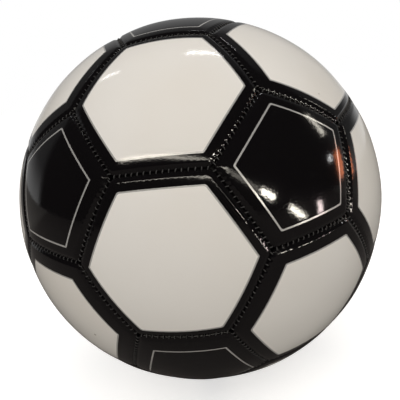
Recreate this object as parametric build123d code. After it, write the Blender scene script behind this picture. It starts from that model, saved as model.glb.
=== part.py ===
from build123d import *
import os
from math import asin, atan, atan2, cos, degrees, pi, radians, sin, sqrt, tan

# A size 5 soccer ball with a machine-sewn cover of thirty-two panels: twenty white
# hexagons and twelve black pentagons, the pattern of a truncated icosahedron.
#
# Each panel is a laminate of three layers. A glossy PVC skin is outside, a soft foam
# layer is under it, and a cloth backing is inside. All three turn inwards along every
# edge, and the turned-in flanges of two neighbours are sewn face to face. A rubber
# bladder fills the cover. Its valve comes out through the middle of one white panel,
# and a patch round the valve strengthens the cover there.
#
# The origin is the centre of the ball. +Y points out of the valve. X lies across the
# middle of a seam between two white panels, and the ball is alike on both sides of the
# YZ plane. Lengths are in millimetres.

# Driving dimensions
BALL_RADIUS = 110.0        # 691 mm round, inside the 680 to 700 mm of a size 5 ball
SKIN_THICKNESS = 1.2
FOAM_THICKNESS = 2.0
CLOTH_THICKNESS = 0.8
SEAM_CLEARANCE = 0.05      # from the seam's middle plane to each panel's flange
FLANGE_DEPTH = 5.5         # from the outer surface to the inner lip of a turned-in edge
EDGE_ROUND = 2.6           # how a panel's edge rolls over into the seam
CORNER_ROUND = 3.4         # how a panel's corner is rounded, seen from outside

THREAD_RADIUS = 0.35
THREAD_DEPTH = 1.25        # where both rolled edges touch the strand
THREAD_END_GAP = 0.6       # bare seam left at each junction of three seams

BLADDER_CLEARANCE = 0.1    # under the flanges' inner lips
BLADDER_THICKNESS = 0.8
BLADDER_HOLE_RADIUS = 4.3

PATCH_RADIUS = 18.0
PATCH_THICKNESS = 1.2

VALVE_HOLE_RADIUS = 4.4    # through the valve panel and the patch
HOUSING_RECESS = 0.5       # the valve's face lies this far under the ball's surface
HOUSING_NECK_RADIUS = 4.25
HOUSING_FLANGE_RADIUS = 15.0
HOUSING_FLANGE_THICKNESS = 1.6
HOUSING_BARREL_RADIUS = 5.5
HOUSING_LENGTH = 20.0

INSERT_CLEARANCE = 0.03    # all round, between the insert and its housing
INSERT_HEAD_RADIUS = 3.55
INSERT_HEAD_THICKNESS = 1.2
INSERT_RECESS = 0.2        # the insert's face lies this far under the housing's
INSERT_STEM_RADIUS = 2.7
INSERT_LENGTH = 17.0
BEAD_RADIUS = 3.4          # the ring that holds the insert in its housing
BEAD_LENGTH = 3.0
BEAD_TOP_DEPTH = 9.0       # below the insert's face
NEEDLE_RADIUS = 1.2        # a 2.4 mm inflating needle
NEEDLE_BORE_LENGTH = 13.3
NEEDLE_LEAD_IN = 0.5       # the countersink at the bore's mouth

# Sizes that follow from them
FLANGE_LIP_RADIUS = BALL_RADIUS - FLANGE_DEPTH
BLADDER_RADIUS = FLANGE_LIP_RADIUS - BLADDER_CLEARANCE
BLADDER_INNER_RADIUS = BLADDER_RADIUS - BLADDER_THICKNESS
HOUSING_FACE = BALL_RADIUS - HOUSING_RECESS
HOUSING_FOOT = HOUSING_FACE - HOUSING_LENGTH
INSERT_FACE = HOUSING_FACE - INSERT_RECESS
INSERT_FOOT = INSERT_FACE - INSERT_LENGTH
BEAD_TOP = INSERT_FACE - BEAD_TOP_DEPTH

# The solid that is cut down to a panel starts and ends clear of every layer.
WEDGE_FOOT = 0.72 * BALL_RADIUS
WEDGE_HEAD = 1.15 * BALL_RADIUS

# Angles of the pattern, as seen from the centre of the ball. The circumradius of a
# truncated icosahedron with edges of length 1 fixes how wide each panel looks.
GOLDEN = (1 + sqrt(5)) / 2
CIRCUMRADIUS = sqrt(58 + 18 * sqrt(5)) / 4
HEXAGON = 6
PENTAGON = 5
SEAM_ANGLE = 2 * asin(0.5 / CIRCUMRADIUS)
NEIGHBOUR_ANGLE = atan(2)            # between two neighbouring pentagons
FIRST_RING = atan(2 / GOLDEN**2)     # pentagons nearest the valve, from +Y
SECOND_RING = atan(2 * GOLDEN**2)    # the next ones, from +Y
SAME_DIRECTION = 1e-6


def corner_angle(sides):
    """From a panel's middle to its corners."""
    return asin(1 / (2 * sin(pi / sides)) / CIRCUMRADIUS)


def direction(from_y, turn):
    """The unit vector that leans from_y away from +Y, turned about Y from +Z."""
    return Vector(sin(from_y) * sin(turn), cos(from_y), sin(from_y) * cos(turn))


def neighbours(a, b):
    """Whether two pentagon middles belong to pentagons with one seam between them."""
    return abs(a.dot(b) - cos(NEIGHBOUR_ANGLE)) < SAME_DIRECTION


def by_place(middle):
    """Sorts panels from the valve to the far side, and round the ball. Adding zero makes
    a minus zero plus, so that a panel straight below the valve is always last in its ring."""
    return (-round(middle.Y, 4), round(atan2(round(middle.X, 6) + 0.0, middle.Z), 4))


def pentagon_middles():
    """The twelve directions in which the black panels face."""
    rings = ((FIRST_RING, 0), (SECOND_RING, 60))
    near = [direction(ring, radians(start + 120 * k)) for ring, start in rings for k in range(3)]
    return sorted(near + [c * -1 for c in near], key=by_place)


def hexagon_middles(pentagons):
    """The twenty directions in which the white panels face, the valve's first."""
    middles = []
    for i, a in enumerate(pentagons):
        for j, b in enumerate(pentagons[i + 1:], i + 1):
            for c in pentagons[j + 1:]:
                if neighbours(a, b) and neighbours(b, c) and neighbours(a, c):
                    middles.append((a + b + c).normalized())
    return sorted(middles, key=by_place)


def junction(a, b):
    """Where three seams meet: the corner of pentagon a that points to pentagon b."""
    return (a * 2 + b).normalized()


def facing(middle, corner):
    """The place of a panel that is modelled about +Z with one corner over +X."""
    across = corner - middle * middle.dot(corner)
    return Plane(origin=(0, 0, 0), x_dir=across, z_dir=middle).location


def hexagon_places(hexagons, pentagons):
    """One place for each white panel, turned so that its corners are on junctions."""
    junctions = [junction(a, b) for a in pentagons for b in pentagons if neighbours(a, b)]
    return [facing(m, max(junctions, key=m.dot)) for m in hexagons]


def pentagon_places(pentagons):
    """One place for each black panel, with a corner towards a neighbour."""
    return [facing(a, junction(a, next(b for b in pentagons if neighbours(a, b))))
            for a in pentagons]


def wedge(sides, inset):
    """The space between a panel's seam planes, each moved inwards by inset."""
    corner = corner_angle(sides)
    tip = inset / sin(atan(tan(corner) * cos(pi / sides)))

    def ring(height):
        reach = (height - tip) * tan(corner)
        return [Vector(reach * cos(2 * pi * k / sides), reach * sin(2 * pi * k / sides), height)
                for k in range(sides)]

    foot, head = ring(WEDGE_FOOT), ring(WEDGE_HEAD)
    walls = [[foot[k - 1], foot[k], head[k], head[k - 1]] for k in range(sides)]
    outlines = [foot[::-1], head, *walls]
    return Solid(Shell([Face(Wire.make_polygon(points, close=True)) for points in outlines]))


def block(sides, depth):
    """A panel-shaped piece of the ball with square edges, its top at this depth."""
    return wedge(sides, SEAM_CLEARANCE + depth) & Sphere(BALL_RADIUS - depth)


def rounded_block(sides):
    """A panel-shaped piece of the ball whose edges roll over into the seams."""
    body = wedge(sides, SEAM_CLEARANCE)
    uprights = [e for e in body.edges() if abs((e @ 1).Z - (e @ 0).Z) > FLANGE_DEPTH]
    body = fillet(uprights, CORNER_ROUND) & Sphere(BALL_RADIUS)
    top = body.faces().filter_by(GeomType.SPHERE)[0]
    return fillet(top.edges(), EDGE_ROUND)


def layer(outer, sides, depth):
    """What is left of outer over the next layer, down to the flanges' inner lips."""
    return (outer - block(sides, depth) - Sphere(FLANGE_LIP_RADIUS)).solid()


def skin(sides):
    """The PVC outside of one panel."""
    return layer(rounded_block(sides), sides, SKIN_THICKNESS)


def foam(sides):
    """The soft layer that fits inside one skin."""
    return layer(block(sides, SKIN_THICKNESS), sides, SKIN_THICKNESS + FOAM_THICKNESS)


def cloth(sides):
    """The woven backing that fits inside one foam layer."""
    depth = SKIN_THICKNESS + FOAM_THICKNESS
    return layer(block(sides, depth), sides, depth + CLOTH_THICKNESS)


def thread_strand(start, end):
    """The sewing thread that lies in the groove of one seam."""
    gap = THREAD_END_GAP / BALL_RADIUS
    run = BALL_RADIUS - THREAD_DEPTH
    section = Plane.XZ * Pos(run, 0) * Circle(THREAD_RADIUS)
    arc = revolve(section, Axis.Z, degrees(SEAM_ANGLE - 2 * gap)).solid()
    along = Plane(origin=(0, 0, 0), x_dir=start, z_dir=start.cross(end)).location
    return arc.moved(along * Rot(0, 0, degrees(gap)))


def shell_between(outer, inner):
    """The hollow ball between two radii."""
    return Sphere(outer) - Sphere(inner)


def rod(radius, foot, head):
    """A round rod on the valve's axis, from one height above the ball's centre to another."""
    return Pos(0, 0, foot) * Cylinder(radius, head - foot, align=(Align.CENTER, Align.CENTER, Align.MIN))


def bladder():
    """The air-tight rubber ball inside, with the hole that its valve comes out of."""
    hole = rod(BLADDER_HOLE_RADIUS, WEDGE_FOOT, WEDGE_HEAD)
    return shell_between(BLADDER_RADIUS, BLADDER_INNER_RADIUS) - hole


def valve_patch():
    """The disc round the valve that strengthens the cover, on the bladder's outside."""
    disc = rod(PATCH_RADIUS, WEDGE_FOOT, WEDGE_HEAD) - rod(VALVE_HOLE_RADIUS, WEDGE_FOOT, WEDGE_HEAD)
    return shell_between(FLANGE_LIP_RADIUS + PATCH_THICKNESS, FLANGE_LIP_RADIUS) & disc


def valve_housing():
    """The rubber body that is bonded to the bladder by its flange and holds the insert."""
    flange_foot = BLADDER_INNER_RADIUS - HOUSING_FLANGE_THICKNESS
    flange = shell_between(BLADDER_INNER_RADIUS, flange_foot) & rod(
        HOUSING_FLANGE_RADIUS, WEDGE_FOOT, WEDGE_HEAD)
    neck = rod(HOUSING_NECK_RADIUS, flange_foot, HOUSING_FACE)
    barrel = rod(HOUSING_BARREL_RADIUS, HOUSING_FOOT, flange_foot + HOUSING_FLANGE_THICKNESS / 2)
    stem_hole = rod(INSERT_STEM_RADIUS + INSERT_CLEARANCE, HOUSING_FOOT, HOUSING_FACE)
    head_foot = INSERT_FACE - INSERT_HEAD_THICKNESS
    head_seat = rod(INSERT_HEAD_RADIUS + INSERT_CLEARANCE, head_foot - INSERT_CLEARANCE, HOUSING_FACE)
    bead_groove = rod(BEAD_RADIUS + INSERT_CLEARANCE, BEAD_TOP - BEAD_LENGTH - INSERT_CLEARANCE,
                      BEAD_TOP + INSERT_CLEARANCE)
    return flange + neck + barrel - stem_hole - head_seat - bead_groove


def valve_insert():
    """The self-sealing rubber plug. Its blind bore takes the needle, and its solid foot,
    slit in the real one, closes behind it."""
    stem = rod(INSERT_STEM_RADIUS, INSERT_FOOT, INSERT_FACE)
    head = rod(INSERT_HEAD_RADIUS, INSERT_FACE - INSERT_HEAD_THICKNESS, INSERT_FACE)
    bead = rod(BEAD_RADIUS, BEAD_TOP - BEAD_LENGTH, BEAD_TOP)
    mouth = INSERT_FACE - NEEDLE_LEAD_IN
    bore = rod(NEEDLE_RADIUS, mouth - NEEDLE_BORE_LENGTH, INSERT_FACE)
    lead_in = Pos(0, 0, mouth) * Cone(NEEDLE_RADIUS, NEEDLE_RADIUS + NEEDLE_LEAD_IN, NEEDLE_LEAD_IN,
                                      align=(Align.CENTER, Align.CENTER, Align.MIN))
    return stem + head + bead - bore - lead_in


def write(name, solids):
    """Writes one named piece, or one group of like pieces, as a STEP file."""
    shape = solids[0] if len(solids) == 1 else Compound(solids)
    export_step(shape, f"parts/{name}.step")


def write_panels():
    """Writes the skins one by one, and each inner layer as one group for each shape."""
    pentagons = pentagon_middles()
    hexagons = hexagon_middles(pentagons)
    shapes = (("white", "hexagon", HEXAGON, hexagon_places(hexagons, pentagons)),
              ("black", "pentagon", PENTAGON, pentagon_places(pentagons)))
    valve_hole = rod(VALVE_HOLE_RADIUS, WEDGE_FOOT, WEDGE_HEAD)
    for colour, shape, sides, places in shapes:
        outside, middle, inside = skin(sides), foam(sides), cloth(sides)
        skins = [outside.moved(place) for place in places]
        foams = [middle.moved(place) for place in places]
        cloths = [inside.moved(place) for place in places]
        names = [f"{colour}_panel_{k:02d}" for k in range(1, len(places) + 1)]
        if sides == HEXAGON:
            names[0] = "white_panel_01_valve"
            for pile, piece in ((skins, outside), (foams, middle), (cloths, inside)):
                pile[0] = (piece - valve_hole).solid().moved(places[0])
        for name, piece in zip(names, skins):
            write(name, [piece])
        write(f"{shape}_foam_layers", foams)
        write(f"{shape}_cloth_backings", cloths)


def write_threads():
    """Writes the seams' threads: thirty between white panels, sixty round black ones."""
    pentagons = pentagon_middles()
    white_seams, black_seams = [], []
    for i, a in enumerate(pentagons):
        for j, b in enumerate(pentagons):
            if not neighbours(a, b):
                continue
            if i < j:
                white_seams.append(thread_strand(junction(a, b), junction(b, a)))
            for c in pentagons[j + 1:]:
                if neighbours(a, c) and neighbours(b, c):
                    black_seams.append(thread_strand(junction(a, b), junction(a, c)))
    write("seam_thread_white_to_white", white_seams)
    write("seam_thread_white_to_black", black_seams)


def write_inside():
    """Writes the bladder and the valve, turned so that the valve points along +Y."""
    to_valve = Plane(origin=(0, 0, 0), x_dir=(1, 0, 0), z_dir=(0, 1, 0)).location
    pieces = {"bladder": bladder(), "valve_patch": valve_patch(),
              "valve_housing": valve_housing(), "valve_insert": valve_insert()}
    for name, piece in pieces.items():
        write(name, [piece.solid().moved(to_valve)])


os.makedirs("parts", exist_ok=True)
write_panels()
write_threads()
write_inside()
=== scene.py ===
# %% [markdown]
# # A sewn soccer ball
#
# The cover of this ball is thirty-two panels of glossy PVC, twenty white hexagons and
# twelve black pentagons, sewn together edge to edge. This lesson builds the panels as
# surfaces that are worked out with numpy, sews them with real stitches, prints their
# borders with shader nodes, and lights the ball as a studio photographer would.
#
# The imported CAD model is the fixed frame. It says how large the ball is, where each
# panel lies and where the valve is. Lengths in the code are metres, and a length that a
# maker would give in millimetres is written as a number times MM, or stands in a table
# that says it is in millimetres.

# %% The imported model
from math import asin, atan, cos, pi, radians, sin, sqrt, tan

import bpy
import numpy as np
from mathutils import Matrix, Vector


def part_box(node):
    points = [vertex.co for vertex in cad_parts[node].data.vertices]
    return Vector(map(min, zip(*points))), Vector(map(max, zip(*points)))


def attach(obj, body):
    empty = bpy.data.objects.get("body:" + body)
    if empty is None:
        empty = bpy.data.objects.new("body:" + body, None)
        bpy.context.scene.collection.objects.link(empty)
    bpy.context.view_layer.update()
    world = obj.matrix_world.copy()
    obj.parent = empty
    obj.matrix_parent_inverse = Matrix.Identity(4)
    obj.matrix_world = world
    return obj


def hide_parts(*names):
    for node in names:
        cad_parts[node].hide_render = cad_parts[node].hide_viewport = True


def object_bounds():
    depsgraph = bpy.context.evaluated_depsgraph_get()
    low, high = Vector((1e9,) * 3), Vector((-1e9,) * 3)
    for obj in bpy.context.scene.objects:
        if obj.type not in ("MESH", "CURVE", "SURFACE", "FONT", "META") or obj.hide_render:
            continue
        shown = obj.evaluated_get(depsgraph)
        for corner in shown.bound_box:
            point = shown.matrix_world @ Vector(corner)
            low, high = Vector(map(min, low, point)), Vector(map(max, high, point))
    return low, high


MM = 0.001
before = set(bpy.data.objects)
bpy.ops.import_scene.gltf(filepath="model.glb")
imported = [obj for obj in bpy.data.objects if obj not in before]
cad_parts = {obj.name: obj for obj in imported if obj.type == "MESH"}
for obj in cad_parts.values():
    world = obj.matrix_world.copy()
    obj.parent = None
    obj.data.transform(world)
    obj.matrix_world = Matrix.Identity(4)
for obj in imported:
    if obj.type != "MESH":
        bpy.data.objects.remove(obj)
cad_low, cad_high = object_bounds()
BALL_RADIUS = (cad_high.z - cad_low.z) / 2
FLOOR_HEIGHT = cad_low.z
print(f"{len(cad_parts)} nodes, ball radius {BALL_RADIUS / MM:.1f} mm")

# %% [markdown]
# ## The pattern
#
# The seams are the edges of a truncated icosahedron, blown up onto the ball. Its twelve
# pentagons look in the directions of an icosahedron's corners, and each hexagon looks
# between three neighbouring pentagons. The directions could be typed in from a table,
# but three angles and a few dot products give them exactly, so that is done here. +Y is
# the valve's axis, as in the frame.

# %% Where the panels look
GOLDEN = (1 + sqrt(5)) / 2
CIRCUMRADIUS = sqrt(58 + 18 * sqrt(5)) / 4      # of a truncated icosahedron with edge 1
NEIGHBOUR_ANGLE = atan(2)                       # between neighbouring pentagons
PENTAGON_RINGS = ((atan(2 / GOLDEN**2), 0), (atan(2 * GOLDEN**2), pi / 3))


def unit(vectors):
    """Vectors scaled to length one."""
    return vectors / np.linalg.norm(vectors, axis=-1, keepdims=True)


def pentagon_middles():
    """Twelve unit vectors: two rings of three round +Y, and their opposites."""
    near = [(sin(lean) * sin(start + 2 * pi * k / 3), cos(lean), sin(lean) * cos(start + 2 * pi * k / 3))
            for lean, start in PENTAGON_RINGS for k in range(3)]
    return np.array(near + [[-x for x in middle] for middle in near])


def neighbour_pairs(middles):
    """A table that is true where two pentagons have a seam between them."""
    return np.abs(middles @ middles.T - cos(NEIGHBOUR_ANGLE)) < 1e-6


def hexagon_middles(middles, near):
    """Twenty unit vectors, each between three pentagons that are all neighbours."""
    count = len(middles)
    found = [middles[i] + middles[j] + middles[k]
             for i in range(count) for j in range(i + 1, count) for k in range(j + 1, count)
             if near[i, j] and near[j, k] and near[i, k]]
    return unit(np.array(found))


pentagons = pentagon_middles()
near = neighbour_pairs(pentagons)
hexagons = hexagon_middles(pentagons, near)
print(f"{len(pentagons)} pentagons and {len(hexagons)} hexagons")

# %% Where three seams meet
def junction(i, j):
    """The corner of pentagon i that points at pentagon j, as a unit vector."""
    return unit(2 * pentagons[i] + pentagons[j])


junctions = np.array([junction(i, j) for i in range(12) for j in range(12) if near[i, j]])
hexagon_seams = [(junction(i, j), junction(j, i)) for i in range(12) for j in range(i + 1, 12)
                 if near[i, j]]
pentagon_seams = [(junction(i, j), junction(i, k)) for i in range(12) for j in range(12)
                  for k in range(j + 1, 12) if near[i, j] and near[i, k] and near[j, k]]
print(f"{len(junctions)} junctions, {len(hexagon_seams)} seams between two white panels")
print(f"{len(pentagon_seams)} seams between a white and a black panel")

# %% [markdown]
# ## How a panel's edge rolls into the seam
#
# A sewn panel isn't simply a piece of a sphere. The air pushes its middle out and the
# thread holds its edge in, so it is slightly pillowed. Two or three millimetres from the
# seam the skin bends over a shoulder that catches the light. From there a sloping strip
# leads down to the groove, where the skin turns in and disappears between the panels.
#
# This could be sculpted, or left to a bevel. A formula is better, because the same rule
# holds along every seam of the ball and each part of it can be tuned in millimetres.

# %% The edge's profile
PILLOW_DROP = 0.45 * MM        # how much the air's pillow lowers the edge
PILLOW_REACH = 6.0 * MM
SHOULDER = 2.6 * MM            # from the seam to the shoulder
SHOULDER_SOFTNESS = 0.20 * MM
STRIP_SLOPE = 0.42
GROOVE_WIDTH = 0.75 * MM       # from the seam to where the skin turns in
GROOVE_DROP = 0.95 * MM


def edge_drop(seam):
    """How far the skin lies below the ball's sphere, at a distance from the seam. It is
    the sum of an exponential pillow, a straight slope that starts softly at the shoulder
    (the logarithm of one plus an exponential), and a quarter of an ellipse in the groove."""
    pillow = PILLOW_DROP * np.exp(-seam / PILLOW_REACH)
    strip = STRIP_SLOPE * SHOULDER_SOFTNESS * np.logaddexp(0, (SHOULDER - seam) / SHOULDER_SOFTNESS)
    into_groove = np.clip(1 - seam / GROOVE_WIDTH, 0, 1)
    return pillow + strip + GROOVE_DROP * (1 - np.sqrt(1 - into_groove**2))


for distance in (0.05, 1, 2, 3, 4, 10):
    print(f"{distance} mm from the seam the skin is {edge_drop(distance * MM) / MM:.2f} mm down")

# %% [markdown]
# ## The pull of the stitches
#
# Each stitch enters the skin just under a millimetre from the seam and pulls a dimple
# into it. Between two stitches the skin swells up. No two stitches are pulled equally hard,
# and that unevenness is what makes a seam look sewn and not moulded.

# %% The stitches' relief
STITCHES = 16                  # along each seam
STITCH_PITCH = 2.75 * MM
HOLE_DISTANCE = 0.85 * MM      # from the seam to the needle's hole
DIMPLE_DEPTH = 0.17 * MM
DIMPLE_ACROSS = 0.42 * MM
DIMPLE_ALONG = 0.50 * MM
SWELL_HEIGHT = 0.08 * MM
SWELL_DISTANCE = 1.1 * MM
SWELL_WIDTH = 0.75 * MM
PUCKER_HEIGHT = 0.04 * MM      # on the shoulder
PUCKER_WIDTH = 0.9 * MM
dice = np.random.default_rng(32)


def hump(x, width):
    """A bell curve of height one."""
    return np.exp(-(x / width) ** 2)


def stitch_relief(seam, along, pull):
    """Height to add to the skin, by rings, edges and points, from the distance to the
    seam and the place along it. Bell-shaped dimples lie at the holes and half waves swell
    between them. pull holds every stitch's strength, by edges and stitches."""
    count = along / STITCH_PITCH + (STITCHES - 1) / 2
    nearest = np.clip(np.round(count), 0, STITCHES - 1).astype(int)
    away = (count - nearest) * STITCH_PITCH
    between = np.sin(pi * np.clip(away / STITCH_PITCH, -0.5, 0.5)) ** 2
    dimple = DIMPLE_DEPTH * hump(seam - HOLE_DISTANCE, DIMPLE_ACROSS) * hump(away, DIMPLE_ALONG)
    swell = SWELL_HEIGHT * hump(seam - SWELL_DISTANCE, SWELL_WIDTH) * between
    pucker = PUCKER_HEIGHT * hump(seam - SHOULDER, PUCKER_WIDTH) * (between - 0.5)
    return (swell + pucker - dimple)[:, None, :] * np.moveaxis(pull[:, nearest], 0, 1)


print(f"{STITCHES} stitches {STITCH_PITCH / MM} mm apart along each seam")

# %% The cover's slow unevenness
RIPPLES = 9
RIPPLE_HEIGHT = 0.035 * MM     # of each wave
RIPPLE_LENGTHS = (24, 62)      # the shortest and the longest wave, in millimetres


def ripple(points):
    """The unevenness of a sewn cover: a sum of sine waves through the ball, each along
    its own direction."""
    waves = unit(np.random.default_rng(7).normal(size=(RIPPLES, 3)))
    lengths = np.linspace(*RIPPLE_LENGTHS, RIPPLES) * MM
    phases = np.arange(RIPPLES) * 2.4
    height = sum(np.sin(2 * pi * (points @ wave) / length + phase)
                 for wave, length, phase in zip(waves, lengths, phases))
    return RIPPLE_HEIGHT * height


print(f"at the junctions the cover is up to {abs(ripple(junctions * BALL_RADIUS)).max() / MM:.2f} mm off")

# %% [markdown]
# ## One panel as a sheet of rings
#
# A panel could be cut from a subdivided sphere, but then its edge would be a staircase.
# Instead its points lie on rings, and every ring keeps one distance from the seams, as
# the lines of a contour map keep one height. The rings are close together at the edge,
# where the skin rolls over, and far apart on the crown. The sheet then turns in, runs
# down the flange and comes back along the inside, so that the panel is a closed shell.
#
# Rings near the seam have eight points for each stitch. Further in, every second, fourth
# or eighth point is enough, and that keeps the whole ball light.

# %% Distances from the seams
CORNER_ROUND = 2.3 * MM        # how a panel's corner is rounded, seen from outside
POINTS_PER_EDGE = STITCHES * 8
HALVINGS = 30                  # of the interval in which a ring's lean is sought


def panel_angles(sides):
    """From a panel's middle to its corners, and to the middles of its edges."""
    corner = asin(1 / (2 * sin(pi / sides)) / CIRCUMRADIUS)
    return corner, atan(tan(corner) * cos(pi / sides))


def edge_turns(sides):
    """The turn about the panel's middle, from an edge's middle, for points that are
    evenly spaced along the seam. The seam is an arc of the sphere, so the turn's tangent
    is the arc's tangent over the sine of the angle to the edge's middle."""
    half_seam = asin(0.5 / CIRCUMRADIUS)
    arc = np.linspace(-half_seam, half_seam, POINTS_PER_EDGE + 1)[:-1]
    return np.arctan(np.tan(arc) / sin(panel_angles(sides)[1]))


def seam_distance(lean, turn, sides):
    """How far a direction is from its own edge's seam and from the next one, along the
    sphere: the arc sine of its dot product with the normal of the seam's plane."""
    flat = panel_angles(sides)[1]
    return [BALL_RADIUS * np.arcsin(sin(flat) * np.cos(lean) - cos(flat) * np.sin(lean) * np.cos(about))
            for about in (turn, 2 * pi / sides - np.abs(turn))]


def rounded(first, second):
    """The distance from an outline with rounded corners. Where a point is near both
    edges, it is measured from the rounding's centre."""
    into = [np.clip(CORNER_ROUND - distance, 0, None) for distance in (first, second)]
    return np.where(first < CORNER_ROUND, CORNER_ROUND - np.hypot(*into), first)


def ring_leans(sides, distances, turn):
    """The lean away from the panel's middle at which each ring, at each turn, has its
    distance from the seams. An interval that holds it is halved again and again."""
    low = np.zeros((len(distances), len(turn)))
    high = np.full_like(low, panel_angles(sides)[0])
    for _ in range(HALVINGS):
        middle = (low + high) / 2
        inside = rounded(*seam_distance(middle, turn, sides)) > distances[:, None]
        low, high = np.where(inside, middle, low), np.where(inside, high, middle)
    return (low + high) / 2


for sides in (6, 5):
    print(f"{sides} sides, {2 * panel_angles(sides)[1] * BALL_RADIUS / MM:.1f} mm wide")

# %% The rings of a skin
SKIN = 1.15 * MM
INNER_EDGE = 9.0               # where the even rings of the crown end, in millimetres
OUTER_EDGE = 10.5
OUTER_SPACING = 2.6            # between two even rings outside, and inside
INNER_SPACING = 6

# Each ring has a distance from the seam and a depth in millimetres, and says how many of
# the points it uses: one in eight, four, two or all. On the outside, the depth is added
# to the edge's profile. On the flange and inside, it is measured from the ball's sphere.
EDGE_RINGS = [(d, 0, 4) for d in (OUTER_EDGE, 9.0, 8.0, 7.3, 6.6, 6.1, 5.5)]
EDGE_RINGS += [(d, 0, 2) for d in (4.9, 4.4, 4.0)]
EDGE_RINGS += [(d, 0, 1) for d in (3.7, 3.45, 3.25, 3.05, 2.85, 2.65, 2.4, 2.15, 1.9, 1.65, 1.4, 1.2,
                                   1.0, 0.8, 0.6, 0.42, 0.25, 0.12, 0.05)]
FLANGE_RINGS = [(0.05, 3.0, 2), (0.05, 4.2, 4), (0.05, 5.5, 8), (1.2, 5.5, 8), (1.2, 3.4, 8)]
INSIDE_RINGS = [(1.2, 2.6, 8), (2.2, 1.9, 8), (4.0, 1.6, 8), (INNER_EDGE, 1.25, 8)]


def crown_rings(sides, start, depth, spacing):
    """Evenly spaced rings from a distance to the panel's middle, which is left out."""
    middle = panel_angles(sides)[1] * BALL_RADIUS / MM
    count = round((middle - start) / spacing)
    return [(start + (middle - start) * k / count, depth, 8) for k in range(1, count)]


def skin_rings(sides):
    """The rings of the outside from the middle to the edge, and of the rest from the
    edge back to the middle."""
    outside = crown_rings(sides, OUTER_EDGE, 0, OUTER_SPACING)[::-1] + EDGE_RINGS
    inside = FLANGE_RINGS + INSIDE_RINGS + crown_rings(sides, INNER_EDGE, SKIN / MM, INNER_SPACING)
    return outside, inside


print(len(skin_rings(6)[0]), "rings outside and", len(skin_rings(6)[1]), "inside a hexagon")

# %% [markdown]
# ## The valve's hole
#
# One white panel has a round hole for the valve, and is drawn in a little round it. Its
# rings change from hexagons near the seams to circles near the hole, and at the hole the
# sheet goes through the skin instead of meeting in a point.

# %% Rings round the valve
HOLE_RADIUS = 4.4 * MM
VALVE_DISH = 0.40 * MM
DISH_WIDTH = 5.0 * MM
CIRCLE_RINGS = (12, 28)        # millimetres from the seam: still hexagons, fully circles
VALVE_LIP = ((0, 0.45), (0.12, 0.13), (0.45, 0))    # out from the hole, and down


def valve_rings():
    """A skin's rings with a rounded lip in front and the hole's wall at the end. A ring
    this far from the seam is a circle whose radius is what is left to the middle."""
    middle = panel_angles(6)[1] * BALL_RADIUS / MM
    hole = HOLE_RADIUS / MM
    outside, inside = skin_rings(6)
    lip = [(middle - hole - out, down, 8) for out, down in VALVE_LIP]
    outside = [ring for ring in outside if ring[0] < middle - hole - 1]
    inside = [ring for ring in inside if ring[0] < middle - hole - 1]
    return lip + outside, inside + [(middle - hole, SKIN / MM, 8)]


def rounder(lean, distances):
    """Rings whose lean is blended from a hexagon's to a circle's as they near the hole."""
    start, end = CIRCLE_RINGS
    share = np.clip((distances / MM - start) / (end - start), 0, 1)[:, None]
    circle = panel_angles(6)[1] - distances[:, None] / BALL_RADIUS
    return lean * (1 - share) + circle * share


print(f"the valve's hole is {2 * HOLE_RADIUS / MM} mm wide")

# %% [markdown]
# ## From rings to a mesh
#
# Two neighbouring rings with equally many points are joined by quads. Where one has
# twice as many points, each face gets a fifth corner. The faces are the same for all
# panels of a kind, so they are worked out once and used for every one of them.

# %% Joining rings
def joined(first, second):
    """Faces between two rings, each given as an array of point numbers. The order of a
    face's corners is out along the sheet and then on round it, so it looks outwards."""
    on = [np.roll(ring, -1) for ring in (first, second)]
    if len(first) == len(second):
        return np.stack([first, second, on[1], on[0]], axis=1).tolist()
    if len(second) == 2 * len(first):
        return np.stack([first, second[::2], second[1::2], on[1][1::2], on[0]], axis=1).tolist()
    return np.stack([first[::2], second, on[1], on[0][1::2], first[1::2]], axis=1).tolist()


def sheet_faces(counts, ring):
    """Faces of a whole sheet. Either its last ring joins its first, or each end closes
    in a pole, and the poles are the sheet's last two points."""
    starts = np.concatenate([[0], np.cumsum(counts)])
    rings = [np.arange(start, end) for start, end in zip(starts, starts[1:])]
    faces = [face for first, second in zip(rings, rings[1:]) for face in joined(first, second)]
    if ring:
        return faces + joined(rings[-1], rings[0])
    top, bottom = starts[-1], starts[-1] + 1
    first, last = rings[0], rings[-1]
    faces += [[top, a, b] for a, b in zip(first.tolist(), np.roll(first, -1).tolist())]
    faces += [[a, bottom, b] for a, b in zip(last.tolist(), np.roll(last, -1).tolist())]
    return faces


def new_piece(name, points, faces, attributes=None):
    """A smooth mesh object at the origin that rides on the ball."""
    mesh = bpy.data.meshes.new(name)
    mesh.from_pydata(points.tolist(), [], faces)
    mesh.shade_smooth()
    for key, values in (attributes or {}).items():
        mesh.attributes.new(key, "FLOAT", "POINT").data.foreach_set("value", values.astype(np.float32))
    piece = bpy.data.objects.new(name, mesh)
    bpy.context.collection.objects.link(piece)
    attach(piece, "root")
    return piece


print("a ring of three joined to one of six:", len(joined(np.arange(3), np.arange(3, 9))), "faces")

# %% The shape of a sheet
def place_of(middle, corners):
    """The turned axes of a panel, as rows: x towards its nearest corner, z outwards."""
    corner = corners[np.argmax(corners @ middle)]
    x_axis = unit(corner - middle * (corner @ middle))
    return np.array([x_axis, np.cross(middle, x_axis), middle])


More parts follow.
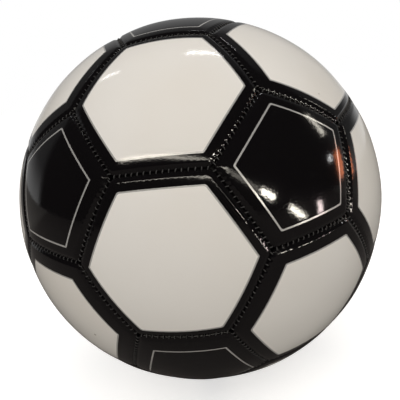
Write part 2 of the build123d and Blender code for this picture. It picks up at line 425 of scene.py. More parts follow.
def sheet_shape(sides, outside, inside, hole):
    """What all sheets of one kind share: for each ring and each point of one edge, its
    lean, turn, distance from the seam and place along it, and the faces."""
    rings = np.array(outside + inside)
    distances = rings[:, 0] * MM
    turn = edge_turns(sides)
    lean = ring_leans(sides, distances, turn)
    if hole:
        lean = rounder(lean, distances)
    shape = {"sides": sides, "outer": len(outside), "distances": distances, "depths": rings[:, 1] * MM,
             "skips": rings[:, 2].astype(int), "lean": lean, "turn": turn, "hole": hole}
    shape["seam"] = seam_distance(lean, turn, sides)[0]
    shape["along"] = BALL_RADIUS * np.arcsin(np.sin(lean) * np.sin(turn))
    counts = [sides * POINTS_PER_EDGE // skip for skip in shape["skips"]]
    shape["faces"] = sheet_faces(counts, hole)
    return shape


def sheet_depth(shape, pull):
    """Depth below the ball's sphere for rings by edges by points: the profile and the
    stitches' relief outside, and the ring's own depth elsewhere."""
    depth = shape["depths"][:, None, None] + np.zeros((1, shape["sides"], POINTS_PER_EDGE))
    outer = shape["outer"]
    if pull is not None:
        relief = stitch_relief(shape["seam"][:outer], shape["along"][:outer], pull)
        depth[:outer] += edge_drop(shape["distances"][:outer])[:, None, None] - relief
    if shape["hole"]:
        depth += (VALVE_DISH * hump(BALL_RADIUS * shape["lean"] - HOLE_RADIUS, DISH_WIDTH))[:, None, :]
    return depth


print("a panel's axes:", place_of(hexagons[0], junctions).round(2).tolist())

# %% [markdown]
# ## Thirty-two skins
#
# The skins differ only in where they look, in how hard each of their stitches pulls and
# in how well their print was cut. The distance from the print's outline is kept as an
# attribute of the mesh, so that the materials can print a border of one width, wherever
# the panel lies. Cutting dies never hit a printed sheet exactly, so on every panel the
# print lies a little off, and its border is a little wider or narrower.

# %% The points of a sheet
def sheet_points(shape, depth, place):
    """All points of a sheet, ring by ring, on the ball: the direction has the ring's lean
    and each edge's turn, and its length is the ball's radius less the depth."""
    edges = np.arange(shape["sides"])[None, :, None]
    about = shape["turn"] + (2 * edges + 1) * pi / shape["sides"]
    lean = shape["lean"][:, None, :] + 0 * about
    directions = np.stack([np.sin(lean) * np.cos(about), np.sin(lean) * np.sin(about), np.cos(lean)],
                          axis=-1) @ place
    points = directions * (BALL_RADIUS - depth + ripple(BALL_RADIUS * directions))[..., None]
    return points.reshape(len(depth), -1, 3), about.reshape(-1)


def used(shape, values):
    """The values of the points that the rings really use, one after the other."""
    return np.concatenate([ring[::skip] for ring, skip in zip(values, shape["skips"])])


def with_poles(shape, points, place, depth):
    """The used points, with a pole for each end of a sheet that closes in its middle."""
    points = used(shape, points)
    if shape["hole"]:
        return points
    heights = BALL_RADIUS - depth[[0, -1], 0, 0] + ripple(BALL_RADIUS * place[2])
    return np.concatenate([points, heights[:, None] * place[2]])


hexagon_shape = sheet_shape(6, *skin_rings(6), hole=False)
valve_shape = sheet_shape(6, *valve_rings(), hole=True)
pentagon_shape = sheet_shape(5, *skin_rings(5), hole=False)
print("points in a hexagon's skin:", len(used(hexagon_shape, np.tile(hexagon_shape["lean"], (1, 6)))) + 2)

# %% How far the print lies off
PRINT_SHIFT = 0.5              # how far a print lies off, at most, in millimetres
BORDER_SPREAD = (-0.2, 1.4)    # how much wider its border is
PRINT_DISTANCE = "print_mm"
POLE_DISTANCE = 40             # a pole only has to be beyond the border and the line

# The panels that face the front are set one by one: how far each print lies off along X and
# Z, and how much wider its border is, in millimetres.
PRINT_FIT = {"white_panel_20": (0.0, -1.0, -0.2), "white_panel_18": (0.1, 0.3, -0.1),
             "white_panel_13": (0.0, 0.0, 2.7), "white_panel_17": (0.0, 0.0, 3.0),
             "white_panel_19": (0.4, -0.4, 1.5), "white_panel_14": (0.9, -0.3, 0.5),
             "white_panel_15": (0.0, 0.0, 1.4), "black_panel_10": (-2.0, 0.0, 0.0),
             "black_panel_11": (0.4, 0.2, 0.0), "black_panel_12": (1.0, -3.6, 0.0)}


def print_fit(name):
    """A panel's shift along X and Z and its border's extra width, from the list or by chance."""
    by_chance = [*dice.uniform(-PRINT_SHIFT, PRINT_SHIFT, 2), dice.uniform(*BORDER_SPREAD)]
    return PRINT_FIT.get(name, by_chance)


def print_distance(shape, about, place, fit):
    """The distance from the print's own outline, in millimetres. The print is shifted, so
    its distance from each edge changes by the part of the shift that is square to that
    edge, and the smallest of these distances counts."""
    sides = shape["sides"]
    flat = panel_angles(sides)[1]
    across, upwards, wider = fit
    shift = place[:2] @ np.array([across, 0, upwards])
    lean = np.tile(shape["lean"], (1, sides))
    from_edges = []
    for edge in (2 * np.arange(sides) + 1) * pi / sides:
        height = sin(flat) * np.cos(lean) - cos(flat) * np.sin(lean) * np.cos(about - edge)
        moved = shift @ (cos(edge), sin(edge))
        from_edges.append(BALL_RADIUS * np.arcsin(height) / MM + moved)
    values = used(shape, np.min(from_edges, axis=0) - wider)
    return values if shape["hole"] else np.append(values, [POLE_DISTANCE, POLE_DISTANCE])


print(len(PRINT_FIT), "prints are set by hand")

# %% Building the skins
PULL_SPREAD = (0.65, 1.2)      # how hard the stitches pull


def make_skin(name, shape, middle):
    """One panel's skin, in place of the CAD node of the same name."""
    place = place_of(middle, junctions)
    pull = dice.uniform(*PULL_SPREAD, size=(shape["sides"], STITCHES))
    depth = sheet_depth(shape, pull)
    points, about = sheet_points(shape, depth, place)
    skin = new_piece(f"skin_{name}", with_poles(shape, points, place, depth), shape["faces"],
                     {PRINT_DISTANCE: print_distance(shape, about, place, print_fit(name))})
    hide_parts(name)
    return skin


def nodes_facing(prefix, middles):
    """The CAD node that lies in each direction, from the middles of the nodes' boxes."""
    names = [name for name in sorted(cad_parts) if name.startswith(prefix)]
    facing = unit(np.array([sum(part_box(name), Vector()) for name in names]))
    return [names[k] for k in np.argmax(middles @ facing.T, axis=1)]


white_skins = [make_skin(name, valve_shape if name.endswith("valve") else hexagon_shape, middle)
               for name, middle in zip(nodes_facing("white_panel", hexagons), hexagons)]
black_skins = [make_skin(name, pentagon_shape, middle)
               for name, middle in zip(nodes_facing("black_panel", pentagons), pentagons)]
print(f"{len(white_skins)} white and {len(black_skins)} black skins,",
      sum(len(skin.data.polygons) for skin in white_skins + black_skins), "faces")

# %% [markdown]
# ## Foam and cloth under the skins
#
# Under each skin lies a layer of foam, and under the foam a woven backing. Both turn in
# at the edge with the skin. Nobody sees them unless the cover is cut open, so the same
# rings are used with few points. All layers of a kind are one piece, as they are one
# node of the frame.

# %% Building the layers
FOAM_RINGS = [(4.5, 1.75, 8), (2.6, 2.2, 8), (1.7, 2.9, 8), (1.3, 3.9, 8), (1.3, 5.5, 8), (3.3, 5.5, 8),
              (3.3, 4.2, 8), (4.2, 3.4, 8)]
CLOTH_RINGS = [(5.0, 3.35, 8), (3.9, 3.8, 8), (3.4, 4.6, 8), (3.4, 5.5, 8), (4.2, 5.5, 8), (4.2, 4.8, 8),
               (5.0, 4.1, 8)]
FOAM_DEPTHS = (1.25, 3.15)     # top and bottom, below the ball's sphere
CLOTH_DEPTHS = (3.25, 3.95)
LAYER_EDGE = 8                 # where a layer's even rings end
LAYER_SPACING = 5


def layer_rings(sides, rings, top, bottom, hole):
    """A layer between two depths. With a hole, the even rings stop short of it."""
    middle = panel_angles(sides)[1] * BALL_RADIUS / MM
    outer = crown_rings(sides, LAYER_EDGE, top, LAYER_SPACING)[::-1] + [(LAYER_EDGE, top, 8)]
    inner = [(LAYER_EDGE, bottom, 8)] + crown_rings(sides, LAYER_EDGE, bottom, LAYER_SPACING)
    if hole:
        edge = middle - HOLE_RADIUS / MM
        outer = [(edge, top, 8)] + [ring for ring in outer if ring[0] < edge - 1]
        inner = [ring for ring in inner if ring[0] < edge - 1] + [(edge, bottom, 8)]
    return outer, rings + inner


def make_layers(name, node, sides, middles, rings, depths):
    """All layers of one kind, joined into one piece. Only a hexagon may have the hole, and
    the one that has it looks along +Y."""
    parts, faces, start = [], [], 0
    shapes = {hole: sheet_shape(sides, *layer_rings(sides, rings, *depths, hole), hole)
              for hole in ((False, True) if sides == 6 else (False,))}
    for middle in middles:
        shape = shapes[middle[1] > 0.999]
        place = place_of(middle, junctions)
        depth = sheet_depth(shape, None)
        points = with_poles(shape, sheet_points(shape, depth, place)[0], place, depth)
        faces += [[start + corner for corner in face] for face in shape["faces"]]
        start += len(points)
        parts.append(points)
    piece = new_piece(name, np.concatenate(parts), faces)
    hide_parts(node)
    return piece


foam_layers = [
    make_layers("foam_under_white", "hexagon_foam_layers", 6, hexagons, FOAM_RINGS, FOAM_DEPTHS),
    make_layers("foam_under_black", "pentagon_foam_layers", 5, pentagons, FOAM_RINGS, FOAM_DEPTHS)]
cloth_layers = [
    make_layers("cloth_under_white", "hexagon_cloth_backings", 6, hexagons, CLOTH_RINGS, CLOTH_DEPTHS),
    make_layers("cloth_under_black", "pentagon_cloth_backings", 5, pentagons, CLOTH_RINGS, CLOTH_DEPTHS)]
print("foam and cloth:", sum(len(layer.data.polygons) for layer in foam_layers + cloth_layers), "faces")

# %% [markdown]
# ## Stitches
#
# The machine's stitches lie across the seam. Each comes up through a hole in one panel,
# crosses the groove and goes down through a hole in the other. A stitch is a short piece
# of two-ply thread, so its section isn't round but has two lobes that turn along it.
#
# There are more than fourteen hundred of them. Objects that share one mesh would be the
# light way to place them, but the frame wants one piece for each thread node. So all are
# worked out as one array, with a few dozen faces each.

# %% One stitch
THREAD_RADIUS = 0.25 * MM
PLY_DEPTH = 0.17               # how far the lobes stand out, as a share of the radius
PLY_TURNS = 1.1
STITCH_SECTIONS = 8
STITCH_SIDES = 6
STITCH_REACH = 1.0 * MM        # from the seam to the stitch's buried ends
STITCH_TOP = 0.86 * MM         # below the ball's sphere, at the middle
STITCH_SAG = 1.35 * MM         # how much deeper the ends are
STITCH_LEAN = 0.30 * MM        # a stitch leans a little along the seam
PLACE_SPREAD = 0.06 * MM       # how unevenly the stitches are placed,
LEAN_SPREAD = 0.3              # how unevenly they lean, as a share,
HEIGHT_SPREAD = 0.05 * MM      # and how unevenly high they lie


def stitch_path(across):
    """Depth of a stitch's middle line: a flat arch, the fourth power of the distance."""
    return STITCH_TOP + STITCH_SAG * (across / STITCH_REACH) ** 4


def stitch_points(seams):
    """Points of all stitches by seams, stitches, sections and sides. Each stitch's
    directions are: along the seam, across it, and up from the ball's middle."""
    count = (len(seams), STITCHES)
    start, end = (np.array([seam[k] for seam in seams])[:, None, :] for k in (0, 1))
    across_way = unit(np.cross(start, end))
    middle = unit(start + end)
    arc = ((np.arange(STITCHES) - (STITCHES - 1) / 2) * STITCH_PITCH
           + dice.normal(0, PLACE_SPREAD, count)) / BALL_RADIUS
    up = middle * np.cos(arc)[..., None] + np.cross(across_way, middle) * np.sin(arc)[..., None]
    along_way = np.cross(across_way, up)
    across = np.linspace(-STITCH_REACH, STITCH_REACH, STITCH_SECTIONS)
    side = np.arange(STITCH_SIDES) * 2 * pi / STITCH_SIDES
    phase = PLY_TURNS * 2 * pi * across[:, None] / STITCH_REACH / 2
    radius = THREAD_RADIUS * (1 + PLY_DEPTH * np.cos(2 * (side - phase)))
    leaning = STITCH_LEAN * (1 + dice.normal(0, LEAN_SPREAD, count))[..., None, None]
    lean = leaning * across[:, None] / STITCH_REACH
    lift = dice.normal(0, HEIGHT_SPREAD, count)[..., None, None]
    height = -stitch_path(across)[:, None] + radius * np.sin(side) + lift
    parts = [(up, BALL_RADIUS + height), (along_way, radius * np.cos(side) + lean),
             (across_way, across[:, None])]
    return sum(way[..., None, None, :] * amount[..., None] for way, amount in parts)


def stitch_faces(stitches):
    """Quads round each stitch and a cap at each end, for so many stitches."""
    side = np.arange(STITCH_SIDES)
    on = np.roll(side, -1)
    quads = np.concatenate([np.stack([side, on, on + STITCH_SIDES, side + STITCH_SIDES], axis=1)
                            + section * STITCH_SIDES for section in range(STITCH_SECTIONS - 1)])
    caps = [side[::-1], side + (STITCH_SECTIONS - 1) * STITCH_SIDES]
    starts = np.arange(stitches) * STITCH_SECTIONS * STITCH_SIDES
    faces = (quads[None] + starts[:, None, None]).reshape(-1, 4).tolist()
    return faces + [(cap + start).tolist() for start in starts for cap in caps]


def make_stitches(name, node, seams):
    """The stitches of all seams of one kind, in place of the frame's plain strands."""
    points = stitch_points(seams).reshape(-1, 3)
    piece = new_piece(name, points, stitch_faces(len(seams) * STITCHES))
    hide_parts(node)
    return piece


stitches = [make_stitches("stitches_white_to_white", "seam_thread_white_to_white", hexagon_seams),
            make_stitches("stitches_white_to_black", "seam_thread_white_to_black", pentagon_seams)]
print((len(hexagon_seams) + len(pentagon_seams)) * STITCHES, "stitches")

# %% [markdown]
# ## Node helpers
#
# Materials are built from nodes in code. A few small helpers keep that readable: one
# adds a node with its options and its inputs, where an input is either a value or another
# node's output, one bends the normal, and one starts a group with named sockets.

# %% Adding nodes
def fill(tree, made, inputs):
    """Sets a node's inputs, named or numbered, to values or links them to sockets."""
    for key, value in inputs.items():
        if isinstance(value, bpy.types.NodeSocket):
            tree.links.new(value, made.inputs[key])
        else:
            made.inputs[key].default_value = value


def node(tree, kind, inputs, **options):
    """Adds a node with its options and inputs."""
    made = tree.nodes.new(kind)
    for key, value in options.items():
        setattr(made, key, value)
    fill(tree, made, inputs)
    return made


def noise(tree, point, scale, detail, **others):
    """Cloudy noise, with so many finer layers of it."""
    inputs = {"Vector": point, "Scale": scale, "Detail": detail, **others}
    return node(tree, "ShaderNodeTexNoise", inputs).outputs["Fac"]


def math_node(tree, operation, *values):
    """The result of one calculation on up to three values or sockets."""
    return node(tree, "ShaderNodeMath", dict(enumerate(values)), operation=operation).outputs[0]


def ramp(tree, value, start, end, low=0.0, high=1.0):
    """A value that goes smoothly from low to high as the given one goes from start to end."""
    limits = {"Value": value, "From Min": start, "From Max": end, "To Min": low, "To Max": high}
    return node(tree, "ShaderNodeMapRange", limits, interpolation_type="SMOOTHSTEP").outputs["Result"]


def mix_colour(tree, share, first, second):
    """The first colour where share is zero and the second where it is one."""
    return node(tree, "ShaderNodeMix", {0: share, 6: first, 7: second}, data_type="RGBA").outputs[2]


def bump(tree, height, distance):
    """A normal that is bent by a height, which is a share of the distance."""
    inputs = {"Strength": 1.0, "Distance": distance, "Height": height}
    return node(tree, "ShaderNodeBump", inputs).outputs["Normal"]


def new_group(name, numbers, results):
    """A shader node group that is given a Point and numbers with defaults, and gives out
    named results: its tree, what it is given, and the node that takes the results."""
    tree = bpy.data.node_groups.new(name, "ShaderNodeTree")
    tree.interface.new_socket("Point", in_out="INPUT", socket_type="NodeSocketVector")
    for label, default in numbers.items():
        socket = tree.interface.new_socket(label, in_out="INPUT", socket_type="NodeSocketFloat")
        socket.default_value = default
    for label in results:
        tree.interface.new_socket(label, in_out="OUTPUT", socket_type="NodeSocketFloat")
    return tree, tree.nodes.new("NodeGroupInput").outputs, tree.nodes.new("NodeGroupOutput")


def use_group(tree, group, inputs):
    """Places a group in a material and returns its outputs."""
    return node(tree, "ShaderNodeGroup", inputs, node_tree=group).outputs


print("node helpers ready")

# %% [markdown]
# ## Printed bands
#
# The black border and the silver outline are silk-screened. Both are bands between two
# distances from an edge, so one group draws either. An image could hold the artwork,
# but a distance works for every panel and stays sharp however close the camera comes.
# The ink's edge wanders by a few hundredths of a millimetre, as ink on a grained skin
# does.

# %% The band group
INK_WANDER = 0.12              # of the ink's edge, in millimetres from side to side


def build_printed_band():
    """A mask that is one between two distances, with slightly wandering edges."""
    numbers = {"Distance": 0.0, "From": 0.0, "To": 1.0, "Softness": 0.05}
    tree, given, result = new_group("printed_band", numbers, ["Mask"])
    wander = math_node(tree, "SUBTRACT", noise(tree, given["Point"], 900.0, 2.0), 0.5)
    offset = math_node(tree, "MULTIPLY", wander, INK_WANDER)
    distance = math_node(tree, "ADD", given["Distance"], offset)
    edges = []
    for name in ("From", "To"):
        start = math_node(tree, "SUBTRACT", given[name], given["Softness"])
        end = math_node(tree, "ADD", given[name], given["Softness"])
        edges.append(ramp(tree, distance, start, end))
    fill(tree, result, {"Mask": math_node(tree, "SUBTRACT", *edges)})
    return tree


printed_band = build_printed_band()
print("group", printed_band.name)

# %% [markdown]
# ## Grain and handling
#
# PVC for balls is embossed with a fine and very shallow leather grain, about a millimetre
# across. It is too small to model, but it makes a reflection's edge waver, so it belongs
# in the bump. A ball that has been handled also has faint smudges, which only change how
# sharp its reflections are, a few dull rubs and some specks of dirt. Both effects are
# groups, because the white and the black skins share them.

# %% The grain group
def build_pvc_grain():
    """A height from smooth cells with a finer noise on them."""
    tree, given, result = new_group("pvc_grain", {"Scale": 1000.0}, ["Height"])
    cells = node(tree, "ShaderNodeTexVoronoi", {"Vector": given["Point"], "Scale": given["Scale"]},
                 feature="SMOOTH_F1")
    fine = noise(tree, given["Point"], math_node(tree, "MULTIPLY", given["Scale"], 2.3), 2.0)
    fill(tree, result, {"Height": math_node(tree, "MULTIPLY_ADD", fine, 0.6, cells.outputs["Distance"])})
    return tree


pvc_grain = build_pvc_grain()
print("group", pvc_grain.name)

# %% The handling marks group
def build_handling_marks():
    """Masks of broad smudges, of small dull rubs and of a few specks of dirt. A speck is
    the middle of one cell in ten or so, picked by the cell's random colour."""
    tree, given, result = new_group("handling_marks", {"Scale": 20.0}, ["Smudges", "Rubs", "Specks"])
    point = given["Point"]
    finer = math_node(tree, "MULTIPLY", given["Scale"], 7.0)
    broad = noise(tree, point, given["Scale"], 4.0, Distortion=0.8)
    small = noise(tree, point, finer, 6.0, Roughness=0.7)
    dirt = node(tree, "ShaderNodeTexVoronoi", {"Vector": point, "Scale": finer})
    chance = node(tree, "ShaderNodeSeparateColor", {0: dirt.outputs["Color"]}).outputs["Red"]
    size = ramp(tree, chance, 0.88, 1.0, 0.0, 0.09)
    fill(tree, result, {"Smudges": ramp(tree, broad, 0.42, 0.75), "Rubs": ramp(tree, small, 0.60, 0.72),
                        "Specks": math_node(tree, "LESS_THAN", dirt.outputs["Distance"], size)})
    return tree


handling_marks = build_handling_marks()
print("group", handling_marks.name)

# %% [markdown]
# ## Glossy PVC
#
# Both skins are the same plastic. Its gloss comes from the shader's own roughness, and
# the groups only vary it. The silver ink holds metal flakes: between plastic and metal,
# it looks bright where it mirrors a lamp and dull grey where it doesn't.

# %% The skins' plain colours
WHITE = (0.81, 0.785, 0.745, 1)
CREAM = (0.78, 0.745, 0.69, 1)
DIRT = (0.30, 0.25, 0.20, 1)
BLACK_INK = (0.0042, 0.0036, 0.0040, 1)
BLACK_RUBBED = (0.010, 0.0095, 0.0095, 1)


def plain_white(tree, point, marks):
    """White with a little cream in slow clouds, and dark specks."""
    clouds = ramp(tree, noise(tree, point, 11.0, 3.0), 0.35, 0.7)
    return mix_colour(tree, marks["Specks"], mix_colour(tree, clouds, WHITE, CREAM), DIRT)


def plain_black(tree, point, marks):
    """Black, a touch greyer where it has been rubbed. It has no use for the point."""
    return mix_colour(tree, math_node(tree, "MULTIPLY", marks["Rubs"], 0.5), BLACK_INK, BLACK_RUBBED)


print("white", WHITE[:3], "and black", BLACK_INK[:3])

# %% The skins' materials
SILVER = (0.62, 0.61, 0.59, 1)
SILVER_METAL = 0.5
BORDER_START = -9.0            # millimetres from the seam, well past it
BORDER_END = 6.1
WHITE_SILVER = (6.1, 6.8)      # the silver line on a white panel
BLACK_SILVER = (6.9, 7.7)      # and on a black one
GLOSS = 0.055                  # roughness of the clean skin,
SMUDGED = 0.05                 # and what smudges, rubs and the silver add to it
RUBBED = 0.06
SILVERED = 0.16
MARKS_SCALE = 18.0
GRAIN_SCALE = 1000.0
GRAIN_DEPTH = 0.013 * MM


def new_material(name):
    """An empty material with its tree, its output linked to a Principled shader, and the
    Object coordinates."""
    material = bpy.data.materials.new(name)
    material.use_nodes = True
    tree = material.node_tree
    shader = tree.nodes["Principled BSDF"]
    point = tree.nodes.new("ShaderNodeTexCoord").outputs["Object"]
    return material, tree, shader, point


def gloss_skin(name, plain, silver_band, border_end):
    """A PVC skin with its plain colour, its silver line and, if it has one, a border."""
    material, tree, shader, point = new_material(name)
    distance = node(tree, "ShaderNodeAttribute", {}, attribute_name=PRINT_DISTANCE).outputs["Fac"]

    def band(start, end):
        """The mask of what is printed between two distances."""
        inputs = {"Point": point, "Distance": distance, "From": start, "To": end}
        return use_group(tree, printed_band, inputs)["Mask"]

    marks = use_group(tree, handling_marks, {"Point": point, "Scale": MARKS_SCALE})
    silver = band(*silver_band)
    colour = mix_colour(tree, silver, plain(tree, point, marks), SILVER)
    if border_end:
        colour = mix_colour(tree, band(BORDER_START, border_end), colour, BLACK_INK)
    rough = math_node(tree, "MULTIPLY_ADD", marks["Smudges"], SMUDGED, GLOSS)
    rough = math_node(tree, "MULTIPLY_ADD", marks["Rubs"], RUBBED, rough)
    rough = math_node(tree, "MULTIPLY_ADD", silver, SILVERED, rough)
    height = use_group(tree, pvc_grain, {"Point": point, "Scale": GRAIN_SCALE})["Height"]
    fill(tree, shader, {"Base Color": colour, "Roughness": rough, "Normal": bump(tree, height, GRAIN_DEPTH),
                        "Metallic": math_node(tree, "MULTIPLY", silver, SILVER_METAL)})
    return material


def dress(pieces, material):
    """Gives pieces a material."""
    for piece in pieces:
        piece.data.materials.clear()
        piece.data.materials.append(material)


dress(white_skins, gloss_skin("white_pvc", plain_white, WHITE_SILVER, BORDER_END))
dress(black_skins, gloss_skin("black_pvc", plain_black, BLACK_SILVER, None))
print("silver line on the white panels", WHITE_SILVER, "mm from the seam")

# %% [markdown]
# ## Thread, foam, cloth and rubber
#
# The thread is black waxed polyester, which shines softly along its plies. Its two greys are a
# little lighter than black thread, a painted sheen. The foam has open pores on its cut faces,
# the cloth and the valve's patch are woven, and the bladder and the valve are moulded rubber.
# Each pattern is small, so it goes into the bump, with a little of it in the colour.

# %% The weave group
def build_weave():
    """Height and shade of a plain weave: two sets of threads, each a row of waves, of
    which the higher one shows."""
    tree, given, result = new_group("weave", {"Scale": 500.0}, ["Height", "Shade"])
    waves = {"Vector": given["Point"], "Scale": given["Scale"], "Distortion": 0.6}
    sets = [node(tree, "ShaderNodeTexWave", waves, bands_direction=way).outputs["Fac"] for way in ("X", "Z")]
    height = math_node(tree, "MAXIMUM", *sets)
    fill(tree, result, {"Height": height, "Shade": ramp(tree, height, 0.2, 0.9)})
    return tree


weave = build_weave()
print("group", weave.name)

# %% Materials with one small pattern
def bumped(name, dark, light, roughness, pattern, depth):
    """A material whose pattern gives (height, shade) sockets: the shade mixes the two
    colours and the height goes into the bump, whose depth is in millimetres."""
    material, tree, shader, point = new_material(name)
    height, shade = pattern(tree, point)
    colour = mix_colour(tree, shade, (*dark, 1), (*light, 1))
    normal = bump(tree, height, depth * MM)
    fill(tree, shader, {"Base Color": colour, "Roughness": roughness, "Normal": normal})
    return material


def woven(scale):
    """A pattern function for cloth. The scale says how close its threads lie."""
    def pattern(tree, point):
        weave_outputs = use_group(tree, weave, {"Point": point, "Scale": scale})
        return weave_outputs["Height"], weave_outputs["Shade"]
    return pattern


def speckled(scale, detail):
    """A pattern function for foam and rubber: one noise for both height and shade."""
    def pattern(tree, point):
        height = noise(tree, point, scale, detail)
        return height, ramp(tree, height, 0.35, 0.65)
    return pattern


# Each has two colours, a roughness, a pattern and the pattern's depth in millimetres.
SMALL_PATTERNS = [
    # The thread's greys are lighter than black thread: part of them is painted sheen.
    ("waxed_thread_painted_sheen", (0.035, 0.034, 0.034), (0.075, 0.073, 0.071), 0.5, speckled(2600.0, 3.0), 0.02),
    ("panel_foam", (0.62, 0.60, 0.52), (0.82, 0.80, 0.73), 0.85, speckled(1400.0, 4.0), 0.15),
    ("backing_cloth", (0.50, 0.48, 0.43), (0.74, 0.72, 0.66), 0.9, woven(420.0), 0.15),
    ("patch_cloth", (0.28, 0.25, 0.20), (0.50, 0.46, 0.38), 0.8, woven(300.0), 0.2),
    ("bladder_rubber", (0.020, 0.019, 0.018), (0.040, 0.038, 0.036), 0.55, speckled(240.0, 4.0), 0.05),
    ("valve_rubber", (0.022, 0.021, 0.021), (0.036, 0.034, 0.033), 0.42, speckled(900.0, 4.0), 0.03)]
thread, foam, backing, patch, bladder_rubber, valve_rubber = [bumped(*values) for values in SMALL_PATTERNS]
thread.node_tree.nodes["Principled BSDF"].inputs["Specular IOR Level"].default_value = 0.3
dress(stitches, thread)
dress(foam_layers, foam)
dress(cloth_layers, backing)
print("materials:", len(bpy.data.materials))

# %% The frame's own pieces
INNER_PIECES = {"valve_patch": (patch, "patch_cloth"),
                "bladder": (bladder_rubber, "bladder_rubber"),
                "valve_housing": (valve_rubber, "valve_rubber"),
                "valve_insert": (valve_rubber, "valve_rubber")}
for name, (material, slot) in INNER_PIECES.items():
    dress([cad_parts[name]], material)
    print(name, "is", slot)

# %% [markdown]
# ## Camera
#
# The camera stands a little to the right of the ball's front and above it, close enough
# that the ball fills the picture, and it is held slightly tilted. Its place is given by
# a turn, a height and a distance in ball radii, so the view stays the same if the ball's
# size changes.

# %% Looking at the ball
CAMERA_AZIMUTH = radians(8.8)
CAMERA_ELEVATION = radians(14.1)
CAMERA_ROLL = radians(7.1)
CAMERA_DISTANCE = 2.666 * BALL_RADIUS
FOCAL_LENGTH = 40.3            # on a 36 mm sensor
FRAME_SHIFT = (-0.0007, -0.0037)


def way_to(azimuth, elevation):
    """The unit vector from the ball's middle at an azimuth from -Y towards +X."""
    return Vector((sin(azimuth) * cos(elevation), -cos(azimuth) * cos(elevation), sin(elevation)))


camera_data = bpy.data.cameras.new("camera")
camera_data.lens = FOCAL_LENGTH
camera_data.clip_start = 10 * MM
camera_data.shift_x, camera_data.shift_y = FRAME_SHIFT
camera = bpy.data.objects.new("camera", camera_data)
back = way_to(CAMERA_AZIMUTH, CAMERA_ELEVATION)
camera.location = back * CAMERA_DISTANCE
camera.rotation_mode = "QUATERNION"
camera.rotation_quaternion = ((-back).to_track_quat("-Z", "Y").to_matrix()
                              @ Matrix.Rotation(-CAMERA_ROLL, 3, "Z")).to_quaternion()
bpy.context.collection.objects.link(camera)
bpy.context.scene.camera = camera
print(f"camera {camera.location.length:.3f} m from the ball's middle")

# %% [markdown]
# ## Floor and light
#
# The ball lies on a plain pale floor. A glossy ball is a mirror, so what it reflects has
# to be chosen with care. Large soft lights, a bright floor and bright walls that show in
# the black panels would turn them grey. So the gloss sees a darker floor and a dim wall,
# the two large lights only light what is matt, and the reflections come from small lamps
# and tubes: a long row in front that runs down to the right, and a few on their own.

# %% The floor
FLOOR_SIZE = 30.0
FLOOR_SEEN = (0.86, 0.855, 0.85, 1)      # what the camera sees
FLOOR_GLOW = (0.57, 0.57, 0.57, 1)       # which glows, so that no horizon shows
FLOOR_BOUNCE = (0.46, 0.45, 0.43, 1)     # what lights the ball from below
FLOOR_MIRRORED = (0.13, 0.12, 0.115, 1)  # what the ball's gloss shows of it, near by
FLOOR_BEHIND = (0.25, 0.24, 0.23, 1)     # and a little way behind the ball
BEHIND = (0.08, 0.24)                    # from here to here, in metres along Y
bpy.ops.mesh.primitive_plane_add(size=FLOOR_SIZE, location=(0, 0, FLOOR_HEIGHT))
floor = bpy.context.object
floor.name = "floor"
floor_material, floor_tree, floor_shader, floor_point = new_material("pale_floor")
rays = floor_tree.nodes.new("ShaderNodeLightPath").outputs
floor_axes = node(floor_tree, "ShaderNodeSeparateXYZ", {0: floor_point})
far = ramp(floor_tree, floor_axes.outputs["Y"], *BEHIND)
mirrored = mix_colour(floor_tree, far, FLOOR_MIRRORED, FLOOR_BEHIND)
around = mix_colour(floor_tree, rays["Is Glossy Ray"], FLOOR_BOUNCE, mirrored)
floor_colour = mix_colour(floor_tree, rays["Is Camera Ray"], around, FLOOR_SEEN)
glow = mix_colour(floor_tree, rays["Is Camera Ray"], (0, 0, 0, 1), FLOOR_GLOW)
fill(floor_tree, floor_shader, {"Base Color": floor_colour, "Emission Color": glow, "Emission Strength": 1.0,
                                "Roughness": 1.0, "Specular IOR Level": 0.0})
floor.data.materials.append(floor_material)
print("floor at", round(FLOOR_HEIGHT, 4))

# %% The world
STUDIO = (0.575, 0.56, 0.54, 1)          # what lights the matt surfaces
FRONT = 0.012                            # what the gloss shows of the studio in front
LOW_WALL = (0.0, 0.22, 0.44, 0.08)       # a wall behind is bright low down and dim higher,
FAR_WALL = (0.65, 0.82, 0.0, 0.16)       # it is a little brighter straight behind,
WALL_EDGE = (0.14, 0.26)                 # and it ends softly at its sides
world = bpy.data.worlds.new("studio")
bpy.context.scene.world = world
world.use_nodes = True
tree = world.node_tree
tree.nodes.clear()
facing = node(tree, "ShaderNodeSeparateXYZ", {0: tree.nodes.new("ShaderNodeTexCoord").outputs["Generated"]})
rearwards, upwards = facing.outputs["Y"], facing.outputs["Z"]
wall = math_node(tree, "ADD", ramp(tree, upwards, *LOW_WALL), ramp(tree, rearwards, *FAR_WALL))
behind = math_node(tree, "MULTIPLY_ADD", wall, ramp(tree, rearwards, *WALL_EDGE), FRONT)
paths = tree.nodes.new("ShaderNodeLightPath").outputs
shade = mix_colour(tree, paths["Is Glossy Ray"], STUDIO, behind)
shade = mix_colour(tree, paths["Is Camera Ray"], shade, (1, 1, 1, 1))
background = node(tree, "ShaderNodeBackground", {"Color": shade, "Strength": 1.0})
node(tree, "ShaderNodeOutputWorld", {"Surface": background.outputs[0]})
bpy.context.scene.view_settings.view_transform = "Standard"
print("world", world.name)

# %% The lights
ROW_WAY = (0.985, -0.10, -0.12)          # the row of lamps runs down a little to the right
LOW_ROW_WAY = (0.736, 0.307, -0.604)     # and further right it runs down steeply
PURE = (1, 1, 1)
WARM = (1.0, 0.94, 0.82)

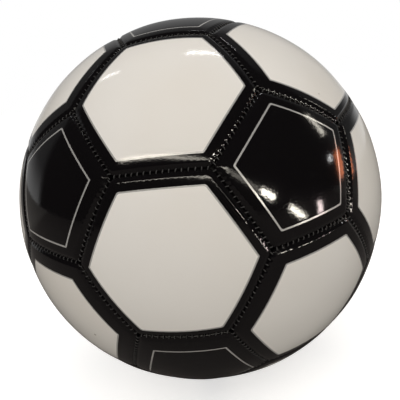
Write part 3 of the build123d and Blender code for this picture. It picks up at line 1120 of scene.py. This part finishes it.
# Each has a name, an azimuth and an elevation in degrees, a distance and its two sides in
# metres, a power in watts, a colour and, if its first side isn't level, that side's way.
SOFT_LIGHTS = [("key_softbox", 20, 62, 1.6, (1.6, 1.2), 10, (1.0, 0.975, 0.945)),
               ("front_fill", 0, 8, 2.0, (1.8, 1.4), 8, (1.0, 0.955, 0.90))]
SMALL_LIGHTS = [("tube_main", 158, 72.6, 1.6, (0.40, 0.018), 0.75, PURE, (0.98, 0.22, -0.07)),
                ("tube_left", -117.3, 53.2, 1.9, (0.32, 0.026), 0.25, PURE, (0.78, -0.42, 0.64)),
                ("lamp_row", -8, 33, 1.53, (1.6, 0.07), 3.2, WARM, ROW_WAY),
                ("lamp_row_low", 33, 19, 1.3, (0.62, 0.06), 0.35, WARM, LOW_ROW_WAY),
                ("lamp_near", 45, 9.5, 1.0, (0.15, 0.05), 1.2, WARM, LOW_ROW_WAY),
                ("lamp_middle", 60.5, -3.7, 0.9, (0.18, 0.045), 0.8, WARM, LOW_ROW_WAY),
                ("lamp_far", 74, -6, 0.8, (0.03, 0.11), 0.30, (1.0, 0.82, 0.80)),
                ("lamp_small", 92.3, 11.4, 1.0, (0.03, 0.03), 0.06, PURE),
                ("sign_orange", 99.6, 6.5, 1.0, (0.12, 0.17), 0.36, (1.0, 0.27, 0.10)),
                ("tube_upright", 96, 27.1, 1.0, (0.05, 0.22), 0.35, WARM)]


def area_light(name, azimuth, elevation, distance, size, power, colour, along=None):
    """A rectangular light that faces the ball. Its first side lies level, or along a
    given direction."""
    data = bpy.data.lights.new(name, "AREA")
    data.shape = "RECTANGLE"
    data.size, data.size_y = size
    data.energy = power
    data.color = colour
    lamp = bpy.data.objects.new(name, data)
    towards = way_to(radians(azimuth), radians(elevation))
    x_axis = Vector(along) if along else Vector((0, 0, 1)).cross(towards)
    x_axis = (x_axis - towards * x_axis.dot(towards)).normalized()
    axes = Matrix((x_axis, towards.cross(x_axis), towards)).transposed()
    lamp.matrix_world = Matrix.Translation(towards * distance) @ axes.to_4x4()
    bpy.context.collection.objects.link(lamp)
    return lamp


for light in SOFT_LIGHTS:
    area_light(*light).visible_glossy = False
for light in SMALL_LIGHTS:
    area_light(*light).visible_diffuse = False
print(len(SOFT_LIGHTS), "soft lights and", len(SMALL_LIGHTS), "small ones")
